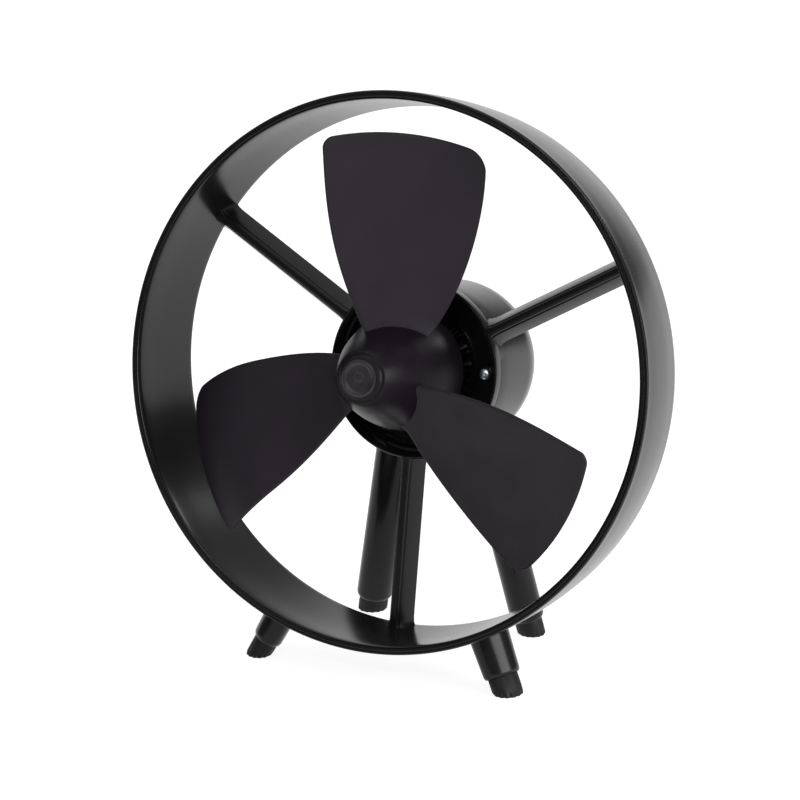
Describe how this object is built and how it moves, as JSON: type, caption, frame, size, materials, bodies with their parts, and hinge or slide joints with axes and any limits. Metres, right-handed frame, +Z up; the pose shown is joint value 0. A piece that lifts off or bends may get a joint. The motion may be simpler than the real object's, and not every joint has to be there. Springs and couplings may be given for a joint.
{
  "type": "desk fan",
  "caption": "Small free-standing fan with soft blades on a bullet-shaped hub inside a deep round shroud, a domed motor housing and splayed legs with rubber feet.",
  "frame": {"origin": "on the surface it stands on, under the middle of its box", "axes": "+Z up, -Y towards the front, where the air goes, +X to the right seen from the front"},
  "size_m": [0.28, 0.168, 0.2943],
  "materials": {
    "gloss_shell": "glossy moulded black plastic with soft reflections",
    "blade_plastic": "matte soft plastic, dark grey with a faint purple tint",
    "hub_plastic": "satin moulded plastic, nearly black",
    "foot_rubber": "matte black rubber",
    "screw_zinc": "bright zinc plating",
    "motor_steel": "ground steel",
    "core_steel": "laminated sheet steel",
    "winding": "enamelled copper wire",
    "bush_bronze": "sintered bronze",
    "bracket_metal": "die-cast alloy",
    "switch_nylon": "natural nylon"
  },
  "bodies": {
    "frame": {"shroud_ring": "gloss_shell", "spoke_right": "gloss_shell", "spoke_left": "gloss_shell", "spoke_bottom": "gloss_shell", "motor_housing_front": "gloss_shell", "rear_dome": "gloss_shell", "front_leg_left": "gloss_shell", "front_leg_right": "gloss_shell", "rear_leg_left": "gloss_shell", "rear_leg_right": "gloss_shell", "cable_gland": "foot_rubber", "front_foot_left": "foot_rubber", "front_foot_right": "foot_rubber", "rear_foot_left": "foot_rubber", "rear_foot_right": "foot_rubber", "housing_screw_1": "screw_zinc", "housing_screw_2": "screw_zinc", "housing_screw_3": "screw_zinc", "bearing_bracket_front": "bracket_metal", "bearing_bracket_rear": "bracket_metal", "bearing_bush_front": "bush_bronze", "bearing_bush_rear": "bush_bronze", "stator_core": "core_steel", "stator_coil_1": "winding", "stator_coil_2": "winding", "stator_coil_3": "winding", "stator_coil_4": "winding", "switch_nut": "motor_steel", "motor_bolt_1": "motor_steel", "motor_bolt_2": "motor_steel", "motor_bolt_3": "motor_steel", "motor_bolt_4": "motor_steel", "speed_switch": "switch_nylon", "terminal_block": "switch_nylon"},
    "rotor": {"motor_shaft": "motor_steel", "rotor_core": "core_steel", "hub_cone": "hub_plastic", "nose_cap": "hub_plastic", "hub_nut": "motor_steel", "blade_1": "blade_plastic", "blade_2": "blade_plastic", "blade_3": "blade_plastic"},
    "knob": {"speed_knob": "gloss_shell"}
  },
  "joints": [
    {"name": "rotor_spin", "type": "hinge", "parent": "frame", "child": "rotor", "pos_m": [0, -0.05468, 0.1569], "axis": [0, 0.9833, -0.1822], "continuous": true},
    {"name": "speed_select", "type": "hinge", "parent": "frame", "child": "knob", "pos_m": [0, -0.05468, 0.1569], "axis": [0, -0.9833, 0.1822], "range_deg": [0, 90]}
  ]
}
